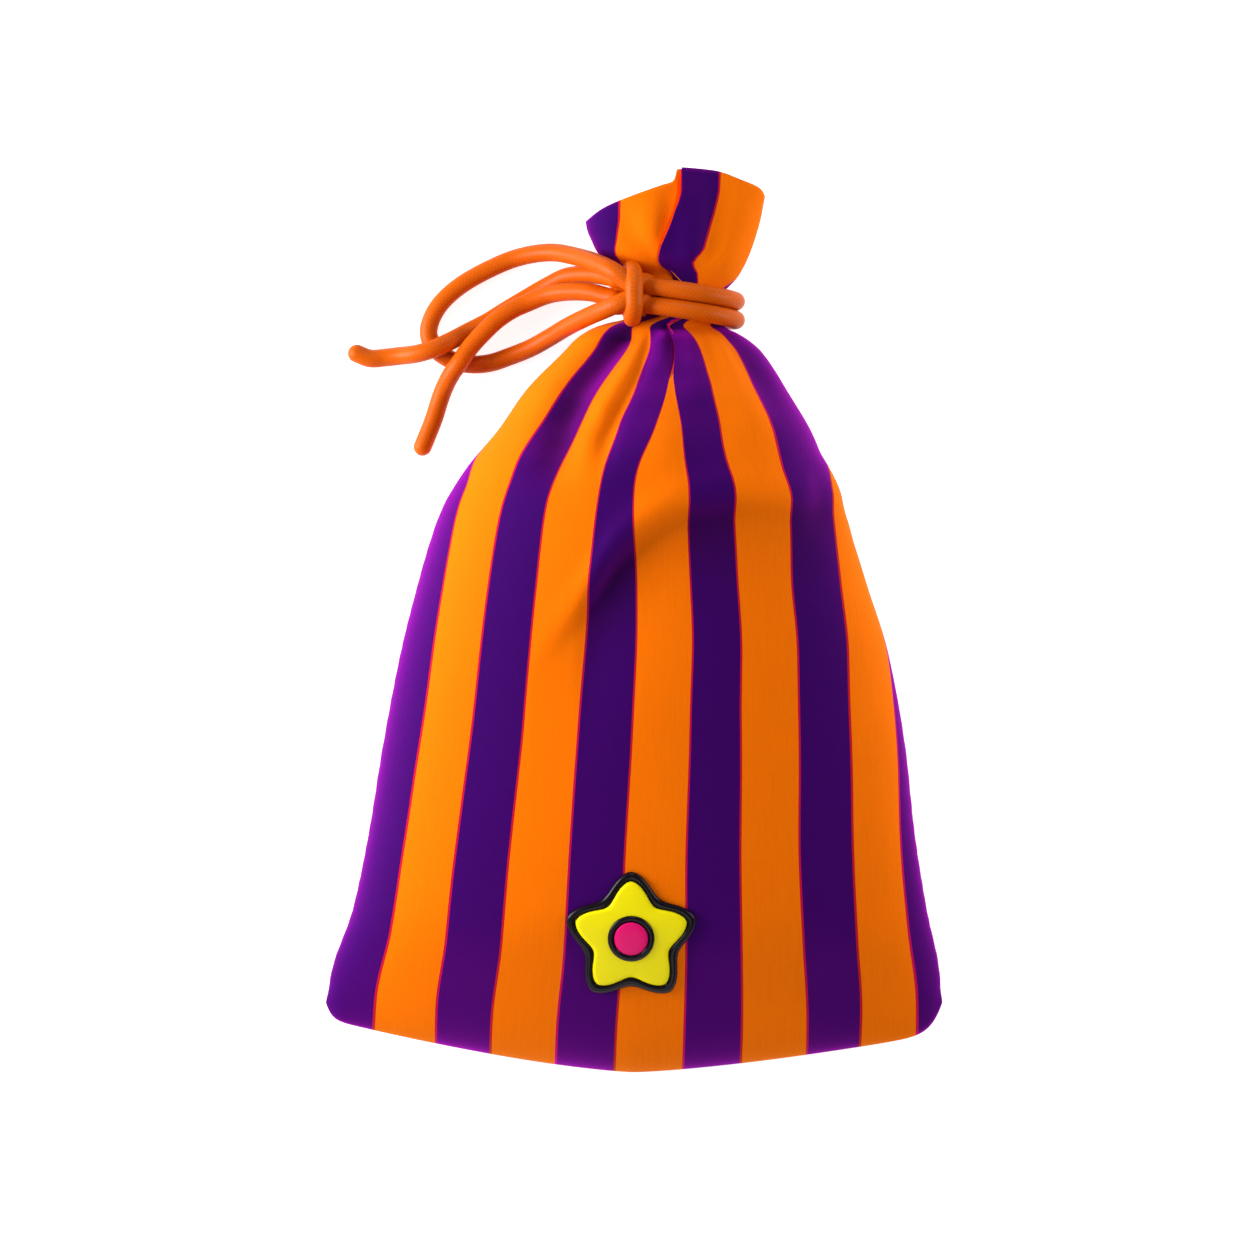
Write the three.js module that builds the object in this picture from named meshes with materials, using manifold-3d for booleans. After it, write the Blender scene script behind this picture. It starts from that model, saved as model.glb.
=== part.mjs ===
// Drawstring sack lying on its back: +X across, +Y towards the neck, +Z up, millimetres.
import * as THREE from "three";
import { LoftGeometry } from "three/addons/geometries/LoftGeometry.js";
import Module from "manifold-3d";

// ---- driving dimensions ----
const BODY_WIDTH = 610; // between the bottom corners
const CORNER_Y = -380; // level of the bottom corners
const BOTTOM_DEPTH = 69.5; // how far the bottom edge bows out past the corners
const BOTTOM_RISE = [53, 39]; // gentle part of it, left and right; the corner's rounding is the rest
const CORNER_POWER = [60, 30]; // how tightly the left and the right corner round
const BOTTOM_ROUND = 130; // length over which the bottom swells to full height
const CLOTH = 1.5; // cloth thickness
const GAP = 0.3; // clearance between neighbouring pieces
const STUFFING_GAP = 4; // space between the cloth and the stuffing
const STUFFING_INSET = 18; // stuffing kept clear of the seams
const SEAM_WIDTH = 11; // turned-in seam allowance
const SEAM_INSET = 5; // its outer edge lies this far inside the outline
const SEAM_THICK = 1.2;
const BOW_REACH = 480; // length over which the bowed rows straighten out
const RUFFLE_FROM = 338; // the ruffle starts above the cord
const PLEATS = 6; // soft folds across each panel
const FLAT_SHARE = 0.8; // where the back reaches the floor, 1 = middle of the panel
const CORD = 18; // cord thickness
const NECK_X = 47; // middle of the gathered neck
const NECK_Z = 56;
const NECK_HALF = [42, 32]; // half width and half height of the gathered cloth
const WRAP_TILT = -0.15; // the cord slopes across the neck
const WRAP_Y = [321.2, 302];
const PATCH = [-3, -311]; // middle of the star patch
const STAR_RADIUS = 66;
const STAR_WAIST = 0.27; // depth of the star's notches, 0 = round
const PATCH_EDGE = 9; // dark edge that shows round the yellow face
const DOT_RADIUS = 17;

// plan outline, [y, x left, x right], and heights, [y, seam, rise of the front, drop of the back]
const OUTLINE_LEFT = [
  [-380, -305], [-346, -299], [-287, -278], [-208, -261], [-129, -248], [-31, -229],
  [28, -214], [67, -203], [107, -189], [146, -166], [185, -134], [225, -106], [264, -67],
  [277, -55], [286, -42], [292, -24], [296, -4], [299, 5], [338, 5], [341, 1], [345, -10],
  [350, -22], [358.7, -34.4], [373.6, -42.3], [384, -46.5], [392, -48],
];
const OUTLINE_RIGHT = [
  [-380, 305], [-346, 302], [-287, 289], [-208, 276], [-129, 267], [-31, 249], [28, 231],
  [67, 220], [107, 208], [146, 190], [185, 173], [225, 150], [244, 139], [264, 125],
  [274, 114], [280, 105], [284, 97], [287, 90], [289, 89], [322, 89], [327, 93], [334, 100], [343, 106],
  [358, 113], [372, 118], [392, 124], [420, 130],
];
const HEIGHTS = [
  [-449, 34, 58, 34], [-380, 40, 66, 40], [-287, 60, 84, 60], [-180, 72, 96, 72],
  [-60, 80, 106, 80], [67, 84, 114, 84], [146, 80, 108, 80], [200, 74, 90, 74],
  [215, 72, 84, 72], [244, 66, 66, 62], [264, 61, 50, 48], [278, 58, 38, 36],
  [286, 56, 32, 32], [338, 56, 32, 32], [350, 54, 36, 34], [380, 50, 40, 38],
  [445, 46, 30, 34],
];
const FOLD_DEPTH = [[60, 0], [150, 2.5], [240, 5], [282, 2], [294, 0], [334, 0], [352, 4], [445, 9]];
// rows of the cloth grid: close together where the bottom rounds over and where the neck draws in
const LEVELS = [
  -380, -376, -366, -350, -326, -292, -250, -200, -140, -75, -10, 50, 105, 150, 190, 222,
  247, 265, 277, 285, 291, 297, 302, 322, 330, 338, 345, 354, 366, 382, 400,
];
const MOUTH = [
  [0, 392], [0.1, 404], [0.25, 415], [0.42, 426], [0.52, 442], [0.7, 441], [0.88, 431],
  [0.97, 424], [1, 417],
];

// free cord routes, x y z
const LOOP_ROUTE = [
  [-4, 328, 99], [-20, 340, 95], [-36, 349, 79], [-56, 357, 56], [-83, 363, 32], [-116, 359, 15],
  [-146, 347, 10.2], [-175, 330, 9.7], [-193.5, 312.5, 9.7], [-202.5, 296, 9.7], [-204.5, 283, 9.7],
  [-199.5, 271, 9.7], [-188.5, 261, 9.7], [-174, 255, 9.7], [-158, 253, 9.7], [-141.5, 255, 9.7],
  [-125, 260.5, 10.5], [-102.5, 269, 19], [-84, 278.5, 31], [-66.5, 288, 48], [-46, 297, 69],
  [-29, 303, 88], [-16, 308, 98], [-4, 313, 100],
];
const LEFT_TAIL_ROUTE = [
  [-19, 334.5, 75], [-27, 337, 66], [-43.5, 340, 50], [-67, 339, 30.5], [-86.5, 330.5, 17.5],
  [-106.5, 319.5, 10.5], [-126, 308, 9.7], [-146, 295.5, 9.7], [-166, 285, 13], [-182.5, 275.5, 23],
  [-199.5, 267.5, 29], [-215.5, 263, 25], [-232, 261.5, 14.5], [-247.5, 260, 9.7],
  [-262.5, 259, 9.7], [-276, 264, 9.7],
];
const LOWER_TAIL_ROUTE = [
  [-18, 314.5, 76.5], [-27, 317, 70], [-43, 321.5, 61], [-66.5, 323, 47], [-86, 320.5, 35],
  [-106, 313, 28.5], [-120.5, 306.5, 28.2], [-135.5, 296.5, 28.2], [-151, 282, 27.8],
  [-164, 267.5, 28], [-173, 254, 28.5], [-181.5, 242.5, 23.5], [-189.5, 228, 13.5], [-194, 216, 9.7],
  [-199.5, 198.5, 9.7], [-210.5, 171, 9.7],
];

const COLOURS = {
  cloth: 0xf07a10, seam: 0x6a2f8a, stuffing: 0xe8e4da, cord: 0xe0720c,
  black: 0x0b050e, yellow: 0xfaea0b, pink: 0xef1275,
};

// value of a smooth curve through [at, value] pairs that never overshoots them
function along(table, at, column = 1) {
  const last = table.length - 1;
  if (at <= table[0][0]) return table[0][column];
  if (at >= table[last][0]) return table[last][column];
  let i = 0;
  while (at > table[i + 1][0]) i++;
  const rise = (j) => (table[j + 1][column] - table[j][column]) / (table[j + 1][0] - table[j][0]);
  const slope = (j) => {
    if (j === 0) return rise(0);
    if (j === last) return rise(last - 1);
    const [a, b] = [rise(j - 1), rise(j)];
    return a * b <= 0 ? 0 : (2 * a * b) / (a + b);
  };
  const step = table[i + 1][0] - table[i][0];
  const t = (at - table[i][0]) / step;
  const [t2, t3] = [t * t, t * t * t];
  return (2 * t3 - 3 * t2 + 1) * table[i][column] + (t3 - 2 * t2 + t) * step * slope(i)
    + (3 * t2 - 2 * t3) * table[i + 1][column] + (t3 - t2) * step * slope(i + 1);
}

const { lerp, clamp, smoothstep } = THREE.MathUtils;
const leftAt = (y) => along(OUTLINE_LEFT, y);
const rightAt = (y) => along(OUTLINE_RIGHT, y);

// level of the bottom edge at share s of the width
function bottomAt(s) {
  const side = s < 0.5 ? 0 : 1;
  const q = Math.abs(2 * s - 1);
  const corner = (BOTTOM_DEPTH - BOTTOM_RISE[side]) * q ** CORNER_POWER[side];
  return CORNER_Y - BOTTOM_DEPTH + BOTTOM_RISE[side] * q ** 1.4 + corner;
}

// How full the sack is at a plan point, 0 on the outline to 1 in the middle, kept `inset` inside it.
function fullness(x, y, inset) {
  const [left, right] = [leftAt(y) + inset, rightAt(y) - inset];
  const s = clamp((x - left) / (right - left), 0, 1);
  const across = 2 * Math.sqrt(s * (1 - s));
  const up = clamp((y - bottomAt(s) - inset) / BOTTOM_ROUND, 0, 1);
  return { across, full: across * Math.sqrt(1 - (1 - up) ** 2), angle: Math.acos(1 - 2 * s) };
}

// Height of the front (side 1) or back (side -1), with folds of the given share, `inset` inside.
function height(x, y, side, inset, folds) {
  const { across, full, angle } = fullness(x, y, inset);
  const seam = along(HEIGHTS, y, 1) + (side * GAP) / 2;
  const fold = folds * along(FOLD_DEPTH, y) * (1 - Math.cos(2 * PLEATS * angle)) * across;
  if (side > 0) return seam + (along(HEIGHTS, y, 2) - inset) * full - fold / 2;
  const resting = 1 - smoothstep(y, 215, 275);
  const share = Math.min(1, full / lerp(1, FLAT_SHARE, resting));
  const eased = lerp(share, 1 - (1 - share) ** 2, resting);
  const drop = (along(HEIGHTS, y, 3) - GAP / 2 - inset) * eased;
  return Math.max(inset, seam - drop + fold * 0.4 * (1 - resting));
}

// Plan point at share s across and a level along, kept `inset` inside; the last level is the mouth.
function planPoint(s, level, inset, mouthDrop = 0) {
  const above = (level - RUFFLE_FROM) / (LEVELS.at(-1) - RUFFLE_FROM);
  const mouth = along(MOUTH, s) - mouthDrop;
  const start = clamp((level - CORNER_Y) / BOTTOM_ROUND, 0, 1);
  const edge = above > 0 ? lerp(RUFFLE_FROM, mouth, above) : level + inset * (1 - start);
  const [left, right] = [leftAt(edge) + inset, rightAt(edge) - inset];
  const bow = (bottomAt(s) - CORNER_Y) * Math.max(0, 1 - (level - CORNER_Y) / BOW_REACH) ** 2;
  return [lerp(left, right, s), edge + bow];
}

const columnShares = (count) =>
  Array.from({ length: count + 1 }, (_, i) => (1 - Math.cos((Math.PI * i) / count)) / 2);

// A sheet of cloth: outer face, then inner face back again, narrowed to a line past both ends.
function panel(side, columns = 30) {
  const across = columnShares(columns);
  const mouthDrop = side > 0 ? 0 : 5;
  const face = (level, inset) => across.map((s) => {
    const [x, y] = planPoint(s, level, inset, mouthDrop);
    return new THREE.Vector3(x, y, height(x, y, side, inset, 1));
  });
  const sections = LEVELS.map((level) => [...face(level, 0), ...face(level, CLOTH).reverse()]);
  const middle = (row, dy) => row.map((p, i) =>
    p.clone().lerp(row[row.length - 1 - i], 0.5).add(new THREE.Vector3(0, dy, 0)));
  return facingOut(new LoftGeometry([middle(sections[0], 0), ...sections, middle(sections.at(-1), 0.4)]));
}

// The stuffing: one closed body inside both panels, filling the neck as far as the top of the cord.
function stuffing(columns = 20) {
  const across = columnShares(columns);
  const rowAt = (level) => {
    const ring = (side, list) => list.map((s) => {
      const [x, y] = planPoint(s, level, STUFFING_INSET);
      if (level === CORNER_Y) return new THREE.Vector3(x, y, along(HEIGHTS, y, 1));
      const z = height(x, y, side, STUFFING_INSET, 0) - (side * GAP) / 2;
      const spare = CLOTH + STUFFING_GAP + along(FOLD_DEPTH, y) - STUFFING_INSET;
      return new THREE.Vector3(x, y, z - side * spare * fullness(x, y, STUFFING_INSET).full);
    });
    return [...ring(1, across), ...ring(-1, across.slice(1, -1).reverse())];
  };
  const sections = LEVELS.filter((level) => level < RUFFLE_FROM).map(rowAt);
  return facingOut(new LoftGeometry(sections, { capEnd: true }));
}

// A ribbon of turned-in cloth along a list of [outer point, inner point] pairs.
function ribbon(pairs) {
  const half = SEAM_THICK / 2;
  const sections = pairs.map(([a, b]) => [
    new THREE.Vector3(a[0], a[1], a[2] - half), new THREE.Vector3(b[0], b[1], b[2] - half),
    new THREE.Vector3(b[0], b[1], b[2] + half), new THREE.Vector3(a[0], a[1], a[2] + half),
  ]);
  return facingOut(new LoftGeometry(sections, { capStart: true, capEnd: true }));
}

function sideSeam(side, steps = 22) {
  const edgeAt = side < 0 ? leftAt : rightAt;
  return ribbon(Array.from({ length: steps + 1 }, (_, i) => {
    const y = lerp(CORNER_Y + 26, 236, i / steps);
    const z = along(HEIGHTS, y, 1);
    const insets = [SEAM_INSET, SEAM_INSET + SEAM_WIDTH];
    if (side < 0) insets.reverse();
    return insets.map((inset) => [edgeAt(y) - side * inset, y, z]);
  }));
}

function bottomSeam(steps = 20) {
  return ribbon(Array.from({ length: steps + 1 }, (_, i) => {
    const s = lerp(0.06, 0.94, i / steps);
    const x = lerp(-BODY_WIDTH / 2, BODY_WIDTH / 2, s);
    return [SEAM_INSET, SEAM_INSET + SEAM_WIDTH].map((inset) => {
      const y = bottomAt(s) + inset;
      return [x, y, along(HEIGHTS, y, 1)];
    });
  }));
}

// Outline radius of a star with soft tips and notches.
const starRadius = (angle, radius) =>
  radius * (1 - STAR_WAIST * (0.5 - 0.5 * Math.cos(5 * angle)) ** 0.8);

// A slab that follows the front of the sack, from `low` to `high` above it.
function patchLayer(radiusAt, low, high, points, rings) {
  const ring = (share, lift) => Array.from({ length: points }, (_, i) => {
    const angle = (2 * Math.PI * i) / points;
    const x = PATCH[0] + share * radiusAt(angle) * Math.sin(angle);
    const y = PATCH[1] + share * radiusAt(angle) * Math.cos(angle);
    return new THREE.Vector3(x, y, height(x, y, 1, 0, 1) + lift);
  });
  const shares = Array.from({ length: rings + 1 }, (_, i) => i / rings);
  const sections = [
    ...shares.map((share) => ring(share, low)), ...shares.reverse().map((share) => ring(share, high)),
  ];
  return facingOut(new LoftGeometry(sections));
}

// A round cord along a curve.
function cordTube(curve, steps, radius = CORD / 2) {
  const circle = new THREE.Shape().absarc(0, 0, radius, 0, 2 * Math.PI);
  return new THREE.ExtrudeGeometry(circle, {
    steps, curveSegments: 5, bevelEnabled: false, extrudePath: curve,
  });
}
const cordAlong = (route, steps) => cordTube(
  new THREE.CatmullRomCurve3(route.map((p) => new THREE.Vector3(...p)), false, "centripetal"), steps);

// One turn of cord round the neck; both ends run into the knot.
function wrapTurn(middleY, steps = 26) {
  const [wide, high] = NECK_HALF.map((half) => half + CORD / 2 + 2.5);
  const points = Array.from({ length: 25 }, (_, i) => {
    const angle = lerp(150, -199, i / 24) * (Math.PI / 180);
    const x = NECK_X + wide * Math.cos(angle);
    return new THREE.Vector3(x, middleY + WRAP_TILT * (x - NECK_X), NECK_Z + high * Math.sin(angle));
  });
  return cordTube(new THREE.CatmullRomCurve3(points), steps);
}

// ---- solids joined or cut with manifold ----
const wasm = await Module();
wasm.setup();

// Indexed positions of a geometry with equal corners merged.
function welded(geometry) {
  const source = geometry.index ? geometry.toNonIndexed() : geometry;
  const position = source.getAttribute("position");
  const [seen, points, triangles] = [new Map(), [], []];
  for (let i = 0; i < position.count; i++) {
    const p = [position.getX(i), position.getY(i), position.getZ(i)];
    const key = p.map((v) => Math.round(v * 1000)).join();
    if (!seen.has(key)) { seen.set(key, points.length / 3); points.push(...p); }
    triangles.push(seen.get(key));
  }
  const kept = [];
  for (let i = 0; i < triangles.length; i += 3) {
    const [a, b, c] = triangles.slice(i, i + 3);
    if (a !== b && b !== c && a !== c) kept.push(a, b, c);
  }
  return { points: new Float32Array(points), triangles: new Uint32Array(kept) };
}

function solidOf(geometry) {
  const { points, triangles } = welded(geometry);
  return new wasm.Manifold(new wasm.Mesh({ numProp: 3, vertProperties: points, triVerts: triangles }));
}

function geometryOf(solid) {
  const mesh = solid.getMesh();
  return new THREE.BufferGeometry()
    .setAttribute("position", new THREE.BufferAttribute(mesh.vertProperties, 3))
    .setIndex(new THREE.BufferAttribute(mesh.triVerts, 1));
}

// The same closed surface, with every face turned outwards.
function facingOut(geometry) {
  const { points, triangles } = welded(geometry);
  const [a, b, c] = [new THREE.Vector3(), new THREE.Vector3(), new THREE.Vector3()];
  let volume = 0;
  for (let i = 0; i < triangles.length; i += 3) {
    a.fromArray(points, 3 * triangles[i]);
    b.fromArray(points, 3 * triangles[i + 1]);
    c.fromArray(points, 3 * triangles[i + 2]);
    volume += a.dot(b.cross(c));
  }
  if (volume < 0) triangles.reverse();
  return new THREE.BufferGeometry()
    .setAttribute("position", new THREE.BufferAttribute(points, 3))
    .setIndex(new THREE.BufferAttribute(triangles, 1));
}

// Knot: a rounded body with one turn of cord over it, across the two wraps.
const KNOT_AT = [-4, 319, 89];
const knotBody = (grow) => solidOf(new THREE.SphereGeometry(1, 20, 14)
  .rotateX(Math.PI / 2).scale(18 + grow, 23 + grow, 18 + grow).translate(...KNOT_AT));
const strand = (radius) => solidOf(facingOut(cordTube(new THREE.CatmullRomCurve3([
  [-3, 343, 87], [-1, 339, 96], [0, 330, 102], [0, 318, 104], [0, 307, 102], [-1, 300, 97], [-2, 297, 92],
].map((p) => new THREE.Vector3(...p))), 16, radius)));
const knot = knotBody(0).add(strand(CORD / 2));
const knotRoom = knotBody(GAP).add(strand(CORD / 2 + GAP));
const clearOfKnot = (geometry) => geometryOf(solidOf(facingOut(geometry)).subtract(knotRoom));

// ---- the part ----
const group = new THREE.Group();
function add(name, geometry, color, roughness) {
  const mesh = new THREE.Mesh(geometry, new THREE.MeshStandardMaterial({ color, roughness, metalness: 0 }));
  mesh.name = name;
  group.add(mesh);
}

add("front_panel", panel(1), COLOURS.cloth, 0.8);
add("back_panel", panel(-1), COLOURS.cloth, 0.8);
add("stuffing", stuffing(), COLOURS.stuffing, 0.95);
add("left_side_seam", sideSeam(-1), COLOURS.seam, 0.85);
add("right_side_seam", sideSeam(1), COLOURS.seam, 0.85);
add("bottom_seam", bottomSeam(), COLOURS.seam, 0.85);

const starEdge = (angle) => starRadius(angle, STAR_RADIUS);
const starFace = (angle) => starRadius(angle, STAR_RADIUS) - PATCH_EDGE;
add("patch_backing", patchLayer(starEdge, 0.8, 3.2, 40, 5), COLOURS.black, 0.25);
add("patch_face", patchLayer(starFace, 3.6, 5.2, 40, 4), COLOURS.yellow, 0.35);
add("patch_dot_ring", patchLayer(() => DOT_RADIUS + 6, 5.6, 6.8, 24, 2), COLOURS.black, 0.25);
add("patch_dot", patchLayer(() => DOT_RADIUS, 7.2, 8.4, 24, 2), COLOURS.pink, 0.35);

add("cord_knot", geometryOf(knot), COLOURS.cord, 0.6);
add("cord_wrap_upper", clearOfKnot(wrapTurn(WRAP_Y[0])), COLOURS.cord, 0.6);
add("cord_wrap_lower", clearOfKnot(wrapTurn(WRAP_Y[1])), COLOURS.cord, 0.6);
add("bow_loop", clearOfKnot(cordAlong(LOOP_ROUTE, 44)), COLOURS.cord, 0.6);
add("left_tail", clearOfKnot(cordAlong(LEFT_TAIL_ROUTE, 26)), COLOURS.cord, 0.6);
add("lower_tail", clearOfKnot(cordAlong(LOWER_TAIL_ROUTE, 26)), COLOURS.cord, 0.6);

export default group;
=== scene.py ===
import math

import bmesh
import bpy
import numpy as np
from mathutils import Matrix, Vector


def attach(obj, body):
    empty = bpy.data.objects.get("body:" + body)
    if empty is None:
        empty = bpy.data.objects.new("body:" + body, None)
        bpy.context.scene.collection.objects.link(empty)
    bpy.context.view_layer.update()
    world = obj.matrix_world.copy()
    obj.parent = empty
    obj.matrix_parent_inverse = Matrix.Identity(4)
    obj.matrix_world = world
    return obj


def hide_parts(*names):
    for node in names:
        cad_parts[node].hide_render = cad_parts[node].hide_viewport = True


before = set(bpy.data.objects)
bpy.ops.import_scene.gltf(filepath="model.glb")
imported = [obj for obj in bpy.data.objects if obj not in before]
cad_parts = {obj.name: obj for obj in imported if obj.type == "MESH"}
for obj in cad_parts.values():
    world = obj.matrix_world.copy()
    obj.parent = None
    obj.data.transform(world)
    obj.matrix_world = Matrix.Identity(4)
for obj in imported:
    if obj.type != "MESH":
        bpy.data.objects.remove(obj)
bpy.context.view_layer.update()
scene = bpy.context.scene
print("sack race bag: frame loaded")

# A long lens that looks straight down, with the neck end up.
camera = {
    "lens": 150,
    "sensor": 36,
    "frameWidth": 1.234,  # width seen at the height of the sack's outline
    "outlineHeight": 0.07,
    "centre": (-0.007, -0.0083),
    "farClip": 50,
}


def makeCamera():
    data = bpy.data.cameras.new("camera")
    data.lens = camera["lens"]
    data.sensor_width = camera["sensor"]
    data.clip_end = camera["farClip"]
    away = camera["frameWidth"] * camera["lens"] / camera["sensor"]
    rig = bpy.data.objects.new("camera", data)
    rig.location = (*camera["centre"], camera["outlineHeight"] + away)
    scene.collection.objects.link(rig)
    scene.camera = rig


makeCamera()


# Value at a place, or an array of places, on a smooth curve through a table's rows; the curve never
# overshoots them.
def through(table, at, column=1):
    x = np.array([row[0] for row in table], float)
    y = np.array([row[column] for row in table], float)
    return smoothThrough(x, y, at)


def smoothThrough(x, y, at):
    rise = np.diff(y) / np.diff(x)
    slope = np.empty_like(y)
    slope[0], slope[-1] = rise[0], rise[-1]
    a, b = rise[:-1], rise[1:]
    total = np.where(a + b == 0, 1, a + b)
    slope[1:-1] = np.where(a * b <= 0, 0, 2 * a * b / total)
    at = np.clip(np.asarray(at, float), x[0], x[-1])
    i = np.clip(np.searchsorted(x, at, side="right") - 1, 0, len(x) - 2)
    step = x[i + 1] - x[i]
    t = (at - x[i]) / step
    return ((2 * t**3 - 3 * t**2 + 1) * y[i] + (t**3 - 2 * t**2 + t) * step * slope[i]
            + (3 * t**2 - 2 * t**3) * y[i + 1] + (t**3 - t**2) * step * slope[i + 1])


def smoothStep(x, low, high):
    t = np.clip((x - low) / (high - low), 0, 1)
    return t * t * (3 - 2 * t)


# A smooth-shaded mesh in the scene, with a flat cloth map where one is given.
def meshObject(name, points, faces, uvs=None):
    mesh = bpy.data.meshes.new(name)
    mesh.from_pydata([tuple(p) for p in points], [], faces)
    if uvs is not None:
        layer = mesh.uv_layers.new(name="clothMap")
        flat = np.array([uvs[v] for face in faces for v in face], float)
        layer.data.foreach_set("uv", flat.ravel())
    mesh.polygons.foreach_set("use_smooth", [True] * len(mesh.polygons))
    mesh.validate()
    mesh.update()
    piece = bpy.data.objects.new(name, mesh)
    scene.collection.objects.link(piece)
    return piece


# Quads of a grid stored row by row; around joins the last column to the first.
def gridFaces(rows, columns, around=False):
    faces = []
    for j in range(rows - 1):
        for i in range(columns if around else columns - 1):
            k = (i + 1) % columns
            faces.append((j * columns + i, j * columns + k, (j + 1) * columns + k, (j + 1) * columns + i))
    return faces


# Applies every modifier, so the piece is plain mesh.
def finished(piece):
    graph = bpy.context.evaluated_depsgraph_get()
    mesh = bpy.data.meshes.new_from_object(piece.evaluated_get(graph))
    piece.modifiers.clear()
    piece.data = mesh


def weldDoubles(piece):
    work = bmesh.new()
    work.from_mesh(piece.data)
    bmesh.ops.remove_doubles(work, verts=work.verts, dist=1e-6)
    bmesh.ops.recalc_face_normals(work, faces=work.faces)
    work.to_mesh(piece.data)
    work.free()


cord = {
    "diameter": 0.018,
    "sides": 24,
    "step": 0.003,  # between the rings of its surface
    # from the knot round the bow loop and back to the knot
    "loopRoute": [
        (-0.004, 0.328, 0.099), (-0.020, 0.340, 0.095), (-0.036, 0.349, 0.079), (-0.056, 0.357, 0.056),
        (-0.083, 0.363, 0.032), (-0.116, 0.359, 0.015), (-0.146, 0.347, 0.0102), (-0.175, 0.330, 0.0097),
        (-0.1935, 0.3125, 0.0097), (-0.2025, 0.296, 0.0097), (-0.2045, 0.283, 0.0097),
        (-0.1995, 0.271, 0.0097), (-0.1885, 0.261, 0.0097), (-0.174, 0.255, 0.0097),
        (-0.158, 0.253, 0.0097), (-0.1415, 0.255, 0.0097), (-0.125, 0.2605, 0.0105),
        (-0.1025, 0.269, 0.019), (-0.084, 0.2785, 0.031), (-0.0665, 0.288, 0.048),
        (-0.046, 0.297, 0.069), (-0.029, 0.303, 0.088), (-0.016, 0.308, 0.098), (-0.004, 0.313, 0.100),
    ],
    "leftTailRoute": [
        (-0.019, 0.3345, 0.075), (-0.027, 0.337, 0.066), (-0.0435, 0.340, 0.050), (-0.067, 0.339, 0.0305),
        (-0.0865, 0.3305, 0.0175), (-0.1065, 0.3195, 0.0105), (-0.126, 0.308, 0.0097),
        (-0.146, 0.2955, 0.0097), (-0.166, 0.285, 0.013), (-0.1825, 0.2755, 0.023),
        (-0.1995, 0.2675, 0.029), (-0.2155, 0.263, 0.025), (-0.232, 0.2615, 0.0145),
        (-0.2475, 0.260, 0.0097), (-0.2625, 0.259, 0.0097), (-0.276, 0.264, 0.0097),
    ],
    "lowerTailRoute": [
        (-0.018, 0.3145, 0.0765), (-0.027, 0.317, 0.070), (-0.043, 0.3215, 0.061), (-0.0665, 0.323, 0.047),
        (-0.086, 0.3205, 0.035), (-0.106, 0.313, 0.0285), (-0.1205, 0.3065, 0.0282),
        (-0.1355, 0.2965, 0.0282), (-0.151, 0.282, 0.0278), (-0.164, 0.2675, 0.028),
        (-0.173, 0.254, 0.0285), (-0.1815, 0.2425, 0.0235), (-0.1895, 0.228, 0.0135),
        (-0.194, 0.216, 0.0097), (-0.1995, 0.1985, 0.0097), (-0.2105, 0.171, 0.0097),
    ],
}


# Even points along a centripetal curve through the route.
def smoothRoute(route, step):
    p = [np.array(q, float) for q in route]
    p = [2 * p[0] - p[1], *p, 2 * p[-1] - p[-2]]
    fine = []
    for a, b, c, d in zip(p, p[1:], p[2:], p[3:]):
        t = [0.0]
        for u, v in ((a, b), (b, c), (c, d)):
            t.append(t[-1] + max(np.linalg.norm(v - u), 1e-9) ** 0.5)
        for s in np.linspace(t[1], t[2], 12, endpoint=False):
            ab = (t[1] - s) / (t[1] - t[0]) * a + (s - t[0]) / (t[1] - t[0]) * b
            bc = (t[2] - s) / (t[2] - t[1]) * b + (s - t[1]) / (t[2] - t[1]) * c
            cd = (t[3] - s) / (t[3] - t[2]) * c + (s - t[2]) / (t[3] - t[2]) * d
            abc = (t[2] - s) / (t[2] - t[0]) * ab + (s - t[0]) / (t[2] - t[0]) * bc
            bcd = (t[3] - s) / (t[3] - t[1]) * bc + (s - t[1]) / (t[3] - t[1]) * cd
            fine.append((t[2] - s) / (t[2] - t[1]) * abc + (s - t[1]) / (t[2] - t[1]) * bcd)
    fine.append(p[-2])
    fine = np.array(fine)
    run = np.concatenate([[0], np.cumsum(np.linalg.norm(np.diff(fine, axis=0), axis=1))])
    count = max(8, int(round(run[-1] / step)))
    even = np.linspace(0, run[-1], count + 1)
    return np.stack([np.interp(even, run, fine[:, k]) for k in range(3)], axis=1), run[-1]


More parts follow.
